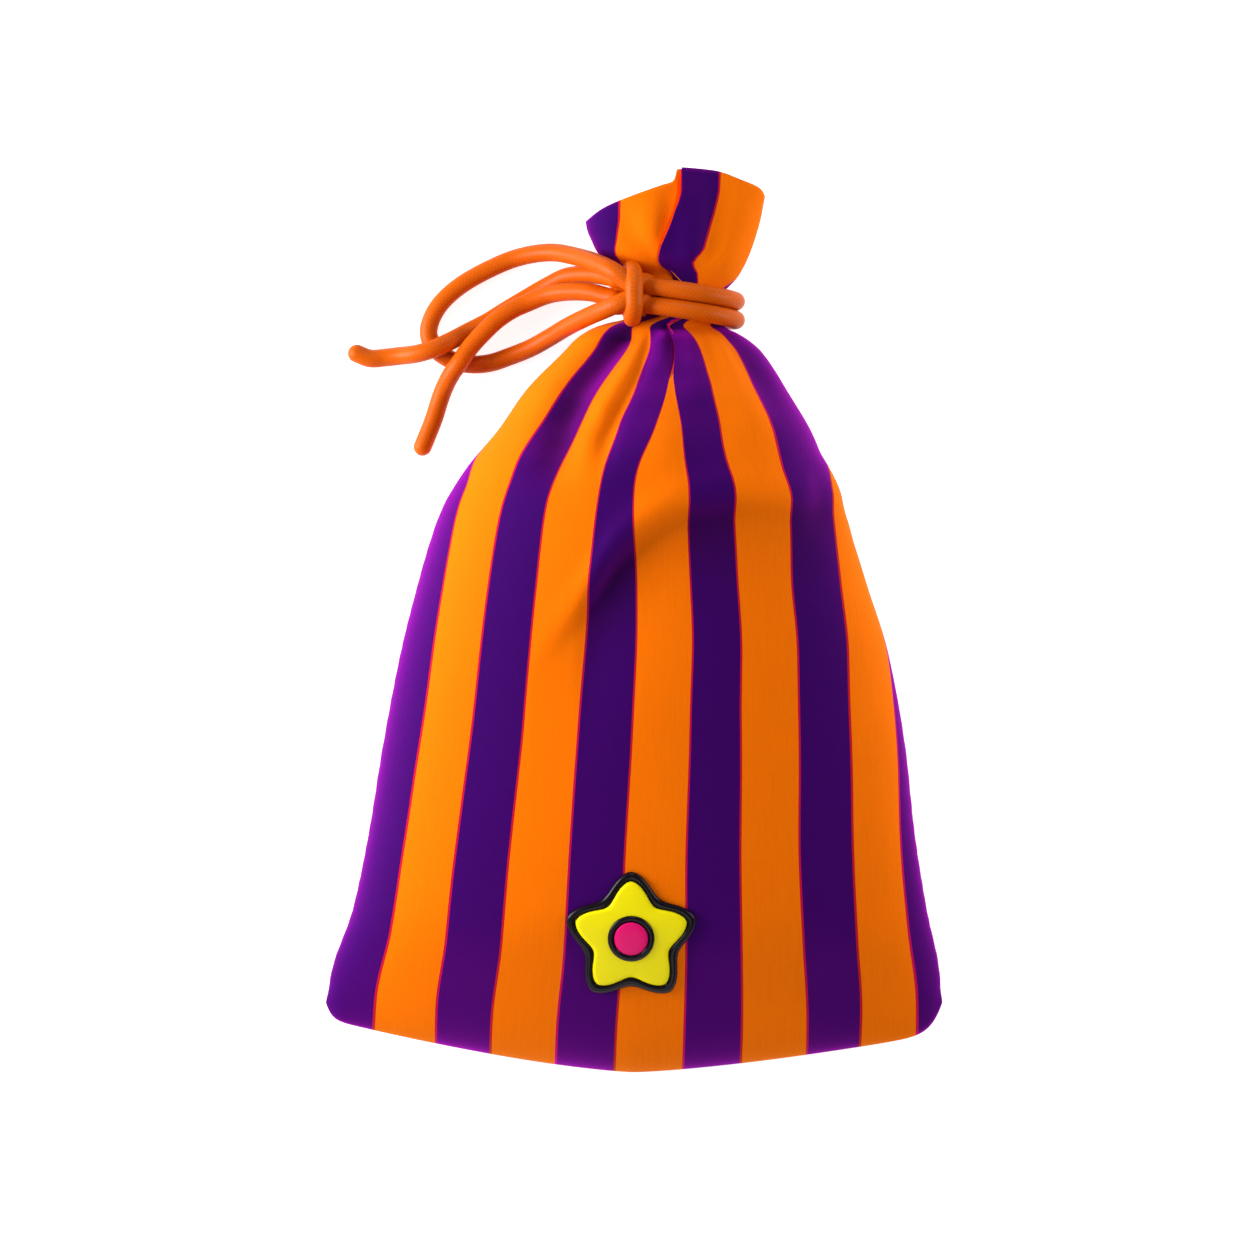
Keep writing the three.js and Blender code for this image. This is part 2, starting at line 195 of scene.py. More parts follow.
# Round tube along a line of points, its map running along the length and around. Its start is round.
def tubeMesh(name, line, radius, roundEnd=True):
    sides = cord["sides"]
    line = np.array(line, float)
    run = np.concatenate([[0], np.cumsum(np.linalg.norm(np.diff(line, axis=0), axis=1))])
    tangents = np.gradient(line, run, axis=0)
    tangents /= np.linalg.norm(tangents, axis=1)[:, None]
    rings = [(line[i], tangents[i], 1.0, run[i]) for i in range(len(line))]
    capAngles = [math.radians(a) for a in (89, 70, 50, 30, 14)]

    def cap(at, way, place):
        return [(at + way * radius * math.sin(a), None, math.cos(a), place) for a in capAngles]

    if roundEnd:
        rings += [(c, tangents[-1], s, r + radius) for c, _, s, r in
                  reversed(cap(line[-1], tangents[-1], run[-1]))]
    rings = [(c, tangents[0], s, r - radius) for c, _, s, r in
             cap(line[0], -tangents[0], run[0])] + rings
    normal = Vector(rings[0][1]).orthogonal().normalized()
    points, uvs = [], []
    last = Vector(rings[0][1])
    for centre, tangent, share, place in rings:
        tangent = Vector(tangent)
        normal = last.rotation_difference(tangent) @ normal
        normal = (normal - tangent * normal.dot(tangent)).normalized()
        other = tangent.cross(normal)
        last = tangent
        for k in range(sides + 1):
            a = 2 * math.pi * k / sides
            points.append(Vector(centre) + (normal * math.cos(a) + other * math.sin(a)) * radius * share)
            uvs.append((place, a * radius))
    columns = sides + 1
    faces = gridFaces(len(rings), columns)
    ends = [tuple(reversed(range(sides))),
            tuple((len(rings) - 1) * columns + k for k in range(sides))]
    piece = meshObject(name, points, faces + ends, uvs)
    weldDoubles(piece)
    return piece



def makeFreeCord(node, route, farEnd):
    line, length = smoothRoute(route, cord["step"])
    piece = tubeMesh(node + "_cord", line, cord["diameter"] / 2, roundEnd=farEnd == "bare")
    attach(piece, "root")
    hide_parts(node)
    return piece


cordPieces = [
    makeFreeCord("bow_loop", cord["loopRoute"], "object"),
    makeFreeCord("left_tail", cord["leftTailRoute"], "bare"),
    makeFreeCord("lower_tail", cord["lowerTailRoute"], "bare"),
]
print("free cords made")

# The filled sack, before its folds.
sack = {
    "cornerLevel": -0.380,  # where the side seams meet the bottom edge
    "bottomDepth": 0.0695,  # how far the bottom edge bows out past the corners
    "bottomRise": (0.053, 0.039),  # gentle part of it, left and right; the corner's rounding is the rest
    "cornerPower": (60, 30),
    "bottomRound": 0.130,  # length over which the bottom swells to full height
    "bowReach": 0.480,
    "ruffleFrom": 0.338,
    "topLevel": 0.400,
    "flatShare": 0.80,  # how much of the back's width is off the floor at each side
    "columnWidth": 0.003,
    "panelWidth": 0.610,
    "cutSize": (0.634, 0.950),  # one panel laid flat, with its seam allowances and mouth hem
    "thickness": 0.0014,
    "floorGap": 0.0005,
    "outlineLeft": [
        (-0.380, -0.305), (-0.346, -0.299), (-0.287, -0.278), (-0.208, -0.261), (-0.129, -0.248),
        (-0.031, -0.229), (0.028, -0.214), (0.067, -0.203), (0.107, -0.189), (0.146, -0.166),
        (0.185, -0.134), (0.225, -0.106), (0.264, -0.067), (0.277, -0.055), (0.286, -0.042),
        (0.292, -0.024), (0.296, -0.004), (0.299, 0.005), (0.338, 0.005), (0.341, 0.001),
        (0.345, -0.010), (0.350, -0.022), (0.3587, -0.0344), (0.3736, -0.0423), (0.384, -0.0465),
        (0.392, -0.048),
    ],
    "outlineRight": [
        (-0.380, 0.305), (-0.346, 0.302), (-0.287, 0.289), (-0.208, 0.276), (-0.129, 0.267),
        (-0.031, 0.249), (0.028, 0.231), (0.067, 0.220), (0.107, 0.208), (0.146, 0.190),
        (0.185, 0.173), (0.225, 0.150), (0.244, 0.139), (0.264, 0.125), (0.274, 0.114),
        (0.280, 0.105), (0.284, 0.097), (0.287, 0.090), (0.289, 0.089), (0.322, 0.089), (0.327, 0.093),
        (0.334, 0.100), (0.343, 0.106), (0.358, 0.113), (0.372, 0.118), (0.392, 0.124), (0.420, 0.130),
    ],
    # level, seam height, rise of the front, drop of the back
    "heights": [
        (-0.449, 0.034, 0.058, 0.034), (-0.380, 0.040, 0.066, 0.040), (-0.287, 0.060, 0.084, 0.060),
        (-0.180, 0.072, 0.096, 0.072), (-0.060, 0.080, 0.106, 0.080), (0.067, 0.084, 0.114, 0.084),
        (0.146, 0.080, 0.108, 0.080), (0.200, 0.074, 0.090, 0.074), (0.215, 0.072, 0.084, 0.072),
        (0.244, 0.066, 0.066, 0.062), (0.264, 0.061, 0.050, 0.048), (0.278, 0.058, 0.038, 0.036),
        (0.286, 0.056, 0.032, 0.032), (0.338, 0.056, 0.032, 0.032), (0.350, 0.054, 0.036, 0.034),
        (0.380, 0.050, 0.040, 0.038), (0.445, 0.046, 0.030, 0.034),
    ],
    "mouth": [(0, 0.392), (0.1, 0.404), (0.25, 0.415), (0.42, 0.426), (0.485, 0.430), (0.515, 0.443),
              (0.7, 0.441), (0.88, 0.431), (0.97, 0.424), (1, 0.417)],
    "backMouthDrop": 0.004,  # the back's edge lies this much lower
    # flat position of each stripe edge from the left seam to the right one
    "stripeEdges": [0, 0.048, 0.108, 0.162, 0.226, 0.283, 0.353, 0.410, 0.475, 0.526, 0.584, 0.610],
    # level, then how far round the sack each of those edges lies: 0 at the left outline, 90 on top
    # and 180 at the right
    "turns": [
        (-0.385, 0, 32, 50, 62, 75, 86, 99, 110, 124, 136.5, 156, 180),
        (-0.228, 0, 30, 47.5, 61, 74.5, 86, 99, 110.5, 124.5, 139, 159.5, 180),
        (-0.090, 0, 31, 48.5, 62, 75, 87, 100, 111.5, 126.5, 142, 167, 186),
        (0.028, -1, 28.5, 47.5, 62, 76, 88, 102, 114.5, 131, 150, 183, 195),
        (0.126, -3, 22, 45.5, 61, 76.5, 86.5, 102.5, 116.5, 137, 163, 198, 212),
        (0.185, -25, -2, 41.5, 60.5, 76.5, 90, 99.5, 114, 137, 188, 214, 228),
        (0.225, -35, -8, 43, 63, 80.5, 94.5, 97.5, 114, 138, 190, 220, 235),
        (0.242, -37, -9, 43.1, 64, 80.8, 95.2, 96.2, 112.8, 138.6, 191.5, 221.7, 237),
        (0.284, -42, -12, 43.5, 66.5, 81.5, 95, 95.7, 110, 140, 195, 226, 242),
        (0.320, -44, -20, 20, 58, 80, 91, 94, 110, 150, 200, 228, 244),
        (0.341, -46, -26, -6, 14, 66, 67, 68, 98, 180, 206, 230, 246),
        (0.353, -46, -26, -6, 34, 77, 78, 79, 112, 181, 206, 230, 246),
        (0.388, -46, -30, -10, 51, 91.5, 92.5, 93.5, 118, 182, 208, 230, 246),
        (0.440, -46, -30, -12, 51, 90, 91, 92, 119, 184, 208, 230, 246),
    ],
}


# Level of the bottom edge at share s of the width.
def bottomAt(s):
    q = np.abs(2 * s - 1)
    rise, power = (np.where(s < 0.5, *sack[key]) for key in ("bottomRise", "cornerPower"))
    corner = (sack["bottomDepth"] - rise) * q**power
    return sack["cornerLevel"] - sack["bottomDepth"] + rise * q**1.4 + corner


# Plan position at share s across, on a level; the last level is the mouth.
def planPoint(s, level, mouthDrop):
    above = (level - sack["ruffleFrom"]) / (sack["topLevel"] - sack["ruffleFrom"])
    mouth = through(sack["mouth"], s) - mouthDrop
    edge = np.where(above > 0, sack["ruffleFrom"] + above * (mouth - sack["ruffleFrom"]), level)
    left, right = through(sack["outlineLeft"], edge), through(sack["outlineRight"], edge)
    reach = np.maximum(0, 1 - (level - sack["cornerLevel"]) / sack["bowReach"])
    return left + s * (right - left), edge + (bottomAt(s) - sack["cornerLevel"]) * reach**2


# A point of the smooth sack, by its turn round the section in degrees and its level.
def sackPoint(turn, level, mouthDrop=0.0, inset=0.0):
    turn = np.radians(turn)
    s = (1 - np.cos(turn)) / 2
    x, y = planPoint(s, level, mouthDrop)
    left, right = through(sack["outlineLeft"], y), through(sack["outlineRight"], y)
    share = np.clip((x - left) / (right - left), 0, 1)
    across = 2 * np.sqrt(share * (1 - share))
    up = np.clip((y - bottomAt(share)) / sack["bottomRound"], 0, 1)
    full = across * np.sqrt(1 - (1 - up)**2)
    seam, rise, drop = (through(sack["heights"], y, column) for column in (1, 2, 3))
    resting = 1 - smoothStep(y, 0.215, 0.275)
    lying = np.minimum(1, full / (1 + resting * (sack["flatShare"] - 1)))
    lying = lying + resting * (1 - (1 - lying)**2 - lying)
    onTop = np.sin(turn) >= 0
    z = np.where(onTop, seam + (rise - inset) * full, seam - (drop - inset) * lying)
    middle = (left + right) / 2
    x = middle + (x - middle) * (1 - 2 * inset / (right - left))
    return x, y, z


# Turn round the sack of each flat position on a level, and of each stripe edge there.
def turnsAt(flat, level):
    edges = sack["stripeEdges"]
    turns = np.array([through(sack["turns"], level, column + 1) for column in range(len(edges))])
    return smoothThrough(np.array(edges), turns, flat), turns


# Folds of the front, in plan: the line each follows, its width, its depth (negative stands proud) and
# how much of the depth is gone by its far end.
folds = {
    "front": [
        # gathers that fan out below the cord
        {"line": [(0.000, 0.290), (-0.033, 0.250), (-0.058, 0.220), (-0.073, 0.185), (-0.080, 0.150),
                  (-0.084, 0.110)],
         "width": 0.015, "depth": 0.021, "fade": 0.4},
        {"line": [(0.004, 0.292), (-0.060, 0.262), (-0.105, 0.205)], "width": 0.014, "depth": -0.005},
        {"line": [(0.026, 0.292), (0.002, 0.252), (-0.026, 0.205), (-0.040, 0.165)],
         "width": 0.010, "depth": -0.008},
        {"line": [(0.020, 0.292), (0.012, 0.264), (0.003, 0.240), (-0.014, 0.205), (-0.028, 0.172),
                  (-0.037, 0.130)],
         "width": 0.0075, "depth": 0.012, "fade": 0.4},
        {"line": [(0.034, 0.292), (0.026, 0.262), (0.014, 0.225)], "width": 0.009, "depth": -0.005},
        {"line": [(0.052, 0.292), (0.057, 0.250), (0.068, 0.200)], "width": 0.011, "depth": -0.005},
        {"line": [(0.066, 0.292), (0.074, 0.255), (0.088, 0.215)], "width": 0.008, "depth": 0.005},
        {"line": [(0.074, 0.292), (0.088, 0.258), (0.108, 0.210), (0.125, 0.160)],
         "width": 0.011, "depth": -0.005},
        {"line": [(0.083, 0.292), (0.102, 0.262), (0.127, 0.222), (0.146, 0.180)],
         "width": 0.010, "depth": 0.008},
        # broad soft swellings lower down
        {"line": [(0.026, 0.175), (0.020, 0.120)], "width": 0.032, "depth": -0.007},
        {"line": [(0.120, 0.190), (0.150, 0.140)], "width": 0.030, "depth": -0.006},
        {"line": [(0.196, 0.150), (0.203, 0.105), (0.214, 0.070)], "width": 0.012, "depth": -0.005},
        {"line": [(0.182, 0.130), (0.196, 0.070)], "width": 0.012, "depth": 0.004},
        # ruffle
        {"line": [(0.028, 0.345), (0.000, 0.372), (-0.018, 0.405)], "width": 0.010, "depth": 0.006},
        {"line": [(0.036, 0.345), (0.020, 0.380), (0.014, 0.425)], "width": 0.016, "depth": -0.006},
        {"line": [(0.040, 0.338), (0.032, 0.370), (0.032, 0.435)], "width": 0.008, "depth": 0.004},
        {"line": [(0.056, 0.338), (0.058, 0.380), (0.060, 0.445)], "width": 0.013, "depth": -0.007},
        {"line": [(0.068, 0.338), (0.078, 0.380), (0.086, 0.440)], "width": 0.011, "depth": 0.005},
        {"line": [(0.080, 0.338), (0.100, 0.380), (0.112, 0.425)], "width": 0.013, "depth": -0.006},
    ],
    # the crease where the shoulder sags over the body: x, y of its edge, strength
    "sag": [(-0.100, -0.040, 0), (-0.060, 0.005, 0.35), (-0.043, 0.028, 0.7), (-0.019, 0.062, 0.95),
            (0.016, 0.092, 1), (0.055, 0.111, 1), (0.104, 0.1165, 0.95), (0.1535, 0.1165, 0.75),
            (0.200, 0.1245, 0.5), (0.240, 0.130, 0.2)],
    "sagDepth": 0.013,
    "sagWidth": 0.026,  # length over which the cloth steps in below the crease
    "sagReach": 0.105,  # length over which it comes back out
    "sagPaintedShade": 0.85,  # how strongly the painted shade darkens the colour below the crease, 1 = fully
    # length below the crease over which the painted shade fades out
    "sagPaintedShadeReach": 0.060,
    # the bulge just above the crease: share of its depth, how far above, width
    "lip": (0.35, 0.014, 0.016),
    "paintedShadeDepth": 0.016,  # at this depth a fold's painted shade is darkest
    "seamStep": 0.0018,  # how far in the cloth is drawn at the side seams
    "pucker": 0.0004,
    "puckerLength": 0.021,
    # level, depth of the gathers in the back panel
    "back": [(0.060, 0), (0.110, 0.013), (0.165, 0.022), (0.235, 0.021), (0.270, 0.013), (0.286, 0.004),
             (0.338, 0.004), (0.360, 0.010), (0.440, 0.012)],
    "backCount": 10,
    # level, how far the hidden cloth of the tuck goes in, how far it leans under the right-hand side
    "tuck": [(0.232, 0, 0), (0.258, 0.012, 0.006), (0.290, 0.014, 0.006), (0.338, 0.012, 0.006),
             (0.362, 0.021, 0.012), (0.440, 0.022, 0.015)],
    # flat range the tuck hides: below the cord, above the cord; it changes over under the cord
    "tuckedBelow": (0.280, 0.356),
    "tuckedAbove": (0.223, 0.356),
    "tuckChanges": 0.310,
    # beside the tuck the right side stands proud and the left one sinks: share of the depth, flat width
    "tuckProud": (0.34, 0.030),
    "tuckSunk": (0.16, 0.022),
    # only the tuck moves within the first distance of the cord's level, and everything past the second
    "cordLevel": 0.312,
    "heldWithin": (0.026, 0.040),
}


# Plan distance from each point to a line of points, and the share along it of the nearest place.
def lineDistance(x, y, line):
    best = np.full(x.shape, 1e9)
    share = np.zeros(x.shape)
    lengths = [math.dist(a, b) for a, b in zip(line, line[1:])]
    total, done = sum(lengths), 0.0
    for (ax, ay), (bx, by), length in zip(line, line[1:], lengths):
        t = np.clip(((x - ax) * (bx - ax) + (y - ay) * (by - ay)) / length**2, 0, 1)
        away = np.hypot(x - ax - t * (bx - ax), y - ay - t * (by - ay))
        nearer = away < best
        share = np.where(nearer, (done + t * length) / total, share)
        best = np.where(nearer, away, best)
        done += length
    return best, share


# Depth of the drawn folds alone.
def lineFolds(x, y):
    depth = np.zeros(x.shape)
    for fold in folds["front"]:
        away, share = lineDistance(x, y, fold["line"])
        spread = fold["width"] * (1 + 0.5 * share)
        fading = (1 - fold.get("fade", 0.75) * share) * (1 - smoothStep(share, 0.7, 1))
        depth += fold["depth"] * np.exp(-(away / spread)**2) * fading
    return depth


# Painted shade: how deep in a fold or under the sagging shoulder each point lies, 0 to 1; the cloth's colour
# is darkened by it where shade falls.
def paintedShadeMask(x, y):
    below = through(folds["sag"], x, 1) - y
    fading = np.exp(-(np.maximum(below - 0.010, 0) / folds["sagPaintedShadeReach"])**2)
    under = smoothStep(below, -0.010, 0.022) * fading
    sagging = folds["sagPaintedShade"] * through(folds["sag"], x, 2) * under
    return np.clip(lineFolds(x, y) / folds["paintedShadeDepth"] + sagging, 0, 1)


# How far in the front cloth lies at each plan point.
def foldDepth(x, y):
    below = through(folds["sag"], x, 1) - y
    back = np.exp(-(np.maximum(below, 0) / folds["sagReach"])**2)
    under = smoothStep(below, -0.004, folds["sagWidth"]) * back
    share, above, width = folds["lip"]
    lip = share * np.exp(-((below + above) / width)**2)
    return lineFolds(x, y) + folds["sagDepth"] * through(folds["sag"], x, 2) * (under - lip)


# Rows from the bottom seam to the mouth, close together where the shape turns quickly.
def makeLevels():
    low = sack["cornerLevel"] + 0.05 * np.linspace(0, 1, 15)**2
    middle = np.linspace(low[-1], 0.15, 70)[1:]
    high = np.linspace(0.15, sack["topLevel"], 86)[1:]
    return np.concatenate([low, middle, high])


# The named material, made if it isn't there yet.
def newMaterial(name):
    material = bpy.data.materials.get(name) or bpy.data.materials.new(name)
    material.use_nodes = True
    tree = material.node_tree
    return material, tree, tree.nodes["Principled BSDF"]


# One cloth panel: side 1 is the front, -1 the back.
def makePanel(name, side):
    levels = makeLevels()
    edges = sack["stripeEdges"]
    strips = [np.linspace(a, b, math.ceil((b - a) / sack["columnWidth"]) + 1)[1:]
              for a, b in zip(edges, edges[1:])]
    flat = np.concatenate([[0], *strips])
    mouthDrop = 0.0 if side > 0 else sack["backMouthDrop"]
    points, uvs, paintedShades = [], [], []
    for level in levels:
        turns, edgeTurns = turnsAt(flat, level)
        if side < 0:  # from the right seam on round the underside to the left one
            turns = np.interp(flat, [0, flat[-1]], [edgeTurns[-1], 360 + edgeTurns[0]])
        x, y, z = sackPoint(turns, np.full(flat.shape, level), mouthDrop)
        # painted shade for the front, darkest in folds and under the sag; the back gets none
        if side > 0:
            paintedShades += list(paintedShadeMask(x, y))
        else:
            paintedShades += [0.0] * len(flat)
        x, y, z = crumple(x, y, z, turns, flat, level, side)
        points += list(zip(x, y, z))
        uvs += [(u, level - sack["cornerLevel"]) for u in flat]
    faces = gridFaces(len(levels), len(flat))
    piece = meshObject(name, points, faces, uvs)
    # the painted crease shade, kept on the mesh for the cloth materials
    paintedShade = piece.data.attributes.new("paintedShade", "FLOAT", "POINT")
    paintedShade.data.foreach_set("value", np.array(paintedShades, np.float32))
    stripeOf = np.searchsorted(edges, (flat[1:] + flat[:-1]) / 2) - 1
    for stripeName in ("purple stripes", "orange stripes"):
        piece.data.materials.append(newMaterial(stripeName)[0])
    piece.data.polygons.foreach_set("material_index", list(stripeOf % 2) * (len(levels) - 1))
    return piece


# How far in and how far sideways the tuck of the front takes each flat position on a level; the
# right-hand side lies over it, a little proud.
def tuckShift(flat, level):
    start, end = folds["tuckedAbove"] if level > folds["tuckChanges"] else folds["tuckedBelow"]
    depth, lean = through(folds["tuck"], level, 1), through(folds["tuck"], level, 2)
    share = np.clip((flat - start) / (end - start), 0, 1)
    hidden = np.sin(math.pi * share)**0.6
    (proudShare, proudWidth), (sunkShare, sunkWidth) = folds["tuckProud"], folds["tuckSunk"]
    proud = proudShare * np.where(flat >= end, np.exp(-((flat - end) / proudWidth)**2), share**4)
    sunk = sunkShare * np.where(flat <= start, np.exp(-((flat - start) / sunkWidth)**2), 1 - share)
    return depth * (hidden - proud + sunk * (1 - hidden)), lean * hidden


# Moves cloth points by the folds, the tuck, small puckers and the step at each seam.
def crumple(x, y, z, turns, flat, level, side):
    turn = np.radians(turns)
    outX, outZ = -np.cos(turn), np.sin(turn)
    free = smoothStep(np.abs(level - folds["cordLevel"]), *folds["heldWithin"])
    aside = np.zeros(x.shape)
    if side > 0:
        deeper, aside = tuckShift(flat, level)
        inward = foldDepth(x, y) * free + np.where(deeper > 0, deeper, deeper * free)
    else:
        gather = through(folds["back"], level) * free
        wave = np.linspace(0, 2 * math.pi * folds["backCount"], len(turns)) + 0.6 * np.sin(9 * flat)
        inward = gather * (0.5 + 0.5 * np.cos(wave))
    seamAway = np.minimum(turns - turns[0], turns[-1] - turns)
    aboveCorner = smoothStep(level, sack["cornerLevel"], sack["cornerLevel"] + 0.02)
    step = folds["seamStep"] * np.exp(-(seamAway / 1.6)**2) * aboveCorner
    ripple = np.sin(level * 2 * math.pi / folds["puckerLength"] + 3 * np.sin(level * 23))
    pucker = folds["pucker"] * ripple * np.exp(-(seamAway / 7)**2)
    inward = inward + step + pucker * free
    x = x - 0.6 * outX * inward + aside
    z = z - outZ * inward
    return x, y, np.maximum(z, sack["floorGap"])


frontPanel = makePanel("front_cloth", 1)
backPanel = makePanel("back_cloth", -1)
print("cloth panels shaped")


# Linear colour from display values 0 to 255.
def colour(r, g, b):
    def one(c):
        c = c / 255
        return c / 12.92 if c <= 0.04045 else ((c + 0.055) / 1.055) ** 2.4
    return (one(r), one(g), one(b), 1)


def newGroup(name, inputs, outputs):
    group = bpy.data.node_groups.new(name, "ShaderNodeTree")
    for direction, sockets in (("INPUT", inputs), ("OUTPUT", outputs)):
        for socketName, kind, *value in sockets:
            socket = group.interface.new_socket(name=socketName, in_out=direction, socket_type=kind)
            if value:
                socket.default_value = value[0]
    return group, group.nodes.new("NodeGroupInput"), group.nodes.new("NodeGroupOutput")


# Sets a socket's value, or links it to another node's output.
def feed(tree, socket, value):
    if isinstance(value, (int, float, tuple)):
        socket.default_value = value
    else:
        tree.links.new(value, socket)


def mathNode(tree, operation, a, b=None):
    node = tree.nodes.new("ShaderNodeMath")
    node.operation = operation
    for socket, value in zip(node.inputs, (a, b)):
        if value is not None:
            feed(tree, socket, value)
    return node.outputs[0]


def mixColour(tree, factor, a, b):
    node = tree.nodes.new("ShaderNodeMix")
    node.data_type = "RGBA"
    for socket, value in ((node.inputs[0], factor), (node.inputs[6], a), (node.inputs[7], b)):
        feed(tree, socket, value)
    return node.outputs[2]


# Plain weave from a flat cloth map: thread height and a thread-to-thread shade.
def weaveGroup():
    group, start, end = newGroup(
        "clothWeave",
        [("Map", "NodeSocketVector"), ("Thread", "NodeSocketFloat", 0.0016),
         ("Slub", "NodeSocketFloat", 0.5)],
        [("Height", "NodeSocketFloat"), ("Shade", "NodeSocketFloat")])
    split = group.nodes.new("ShaderNodeSeparateXYZ")
    group.links.new(start.outputs["Map"], split.inputs[0])
    waves = []
    for axis in (0, 1):
        turns = mathNode(group, "DIVIDE", split.outputs[axis], start.outputs["Thread"])
        waves.append(mathNode(group, "SINE", mathNode(group, "MULTIPLY", turns, math.pi)))
    over = mathNode(group, "MULTIPLY", waves[0], waves[1])
    height = mathNode(group, "ADD", mathNode(group, "MULTIPLY", over, 0.5), 0.5)
    stretch = group.nodes.new("ShaderNodeMapping")
    stretch.inputs["Scale"].default_value = (420, 24, 1)
    group.links.new(start.outputs["Map"], stretch.inputs["Vector"])
    slub = group.nodes.new("ShaderNodeTexNoise")
    slub.inputs["Scale"].default_value = 1.0
    slub.inputs["Detail"].default_value = 2.0
    group.links.new(stretch.outputs[0], slub.inputs["Vector"])
    uneven = mathNode(group, "MULTIPLY", slub.outputs["Fac"], start.outputs["Slub"])
    group.links.new(mathNode(group, "ADD", height, uneven), end.inputs["Height"])
    group.links.new(slub.outputs["Fac"], end.inputs["Shade"])
    return group


# Slow change of shade over a surface, as cloth and cord pick up with handling.
def mottleGroup():
    group, start, end = newGroup(
        "handledShade",
        [("Colour", "NodeSocketColor"), ("Size", "NodeSocketFloat", 14.0),
         ("Amount", "NodeSocketFloat", 0.1)],
        [("Colour", "NodeSocketColor"), ("Mask", "NodeSocketFloat")])
    coordinates = group.nodes.new("ShaderNodeTexCoord")
    noise = group.nodes.new("ShaderNodeTexNoise")
    noise.inputs["Detail"].default_value = 3.0
    group.links.new(coordinates.outputs["Object"], noise.inputs["Vector"])
    group.links.new(start.outputs["Size"], noise.inputs["Scale"])
    mask = mathNode(group, "SUBTRACT", noise.outputs["Fac"], 0.5)
    shade = mathNode(group, "ADD", mathNode(group, "MULTIPLY", mask, start.outputs["Amount"]), 1.0)
    vector = group.nodes.new("ShaderNodeVectorMath")
    vector.operation = "SCALE"
    group.links.new(start.outputs["Colour"], vector.inputs[0])
    group.links.new(shade, vector.inputs["Scale"])
    group.links.new(vector.outputs[0], end.inputs["Colour"])
    group.links.new(noise.outputs["Fac"], end.inputs["Mask"])
    return group


clothWeave = weaveGroup()
handledShade = mottleGroup()


def placeGroup(tree, group, **values):
    node = tree.nodes.new("ShaderNodeGroup")
    node.node_tree = group
    for key, value in values.items():
        feed(tree, node.inputs[key], value)
    return node


def bump(tree, shader, height, strength, distance):
    node = tree.nodes.new("ShaderNodeBump")
    node.inputs["Strength"].default_value = strength
    node.inputs["Distance"].default_value = distance
    tree.links.new(height, node.inputs["Height"])
    tree.links.new(node.outputs["Normal"], shader.inputs["Normal"])


def setShader(shader, **values):
    for key, value in values.items():
        shader.inputs[key].default_value = value


stripes = {
    "orange": colour(246, 113, 0),
    "purple": colour(28, 1, 82),
    "line": colour(190, 12, 38),  # thin dark red line where two stripes meet
    "lineWidth": 0.0028,
    "thread": 0.0014,
    "slub": 0.6,  # unevenness of the threads
    "roughness": 0.74,
    "specular": 0.03,
    # each colour's painted shade in a crease, then the strength, roughness and tint of its soft shine
    "paintedShadeAndSheen": {
        "orange stripes": (0.26, 0.35, 0.45, (1.0, 0.42, 0.05, 1)),
        "purple stripes": (0.74, 1.0, 0.50, (0.92, 0.014, 1.0, 1)),
    },
}


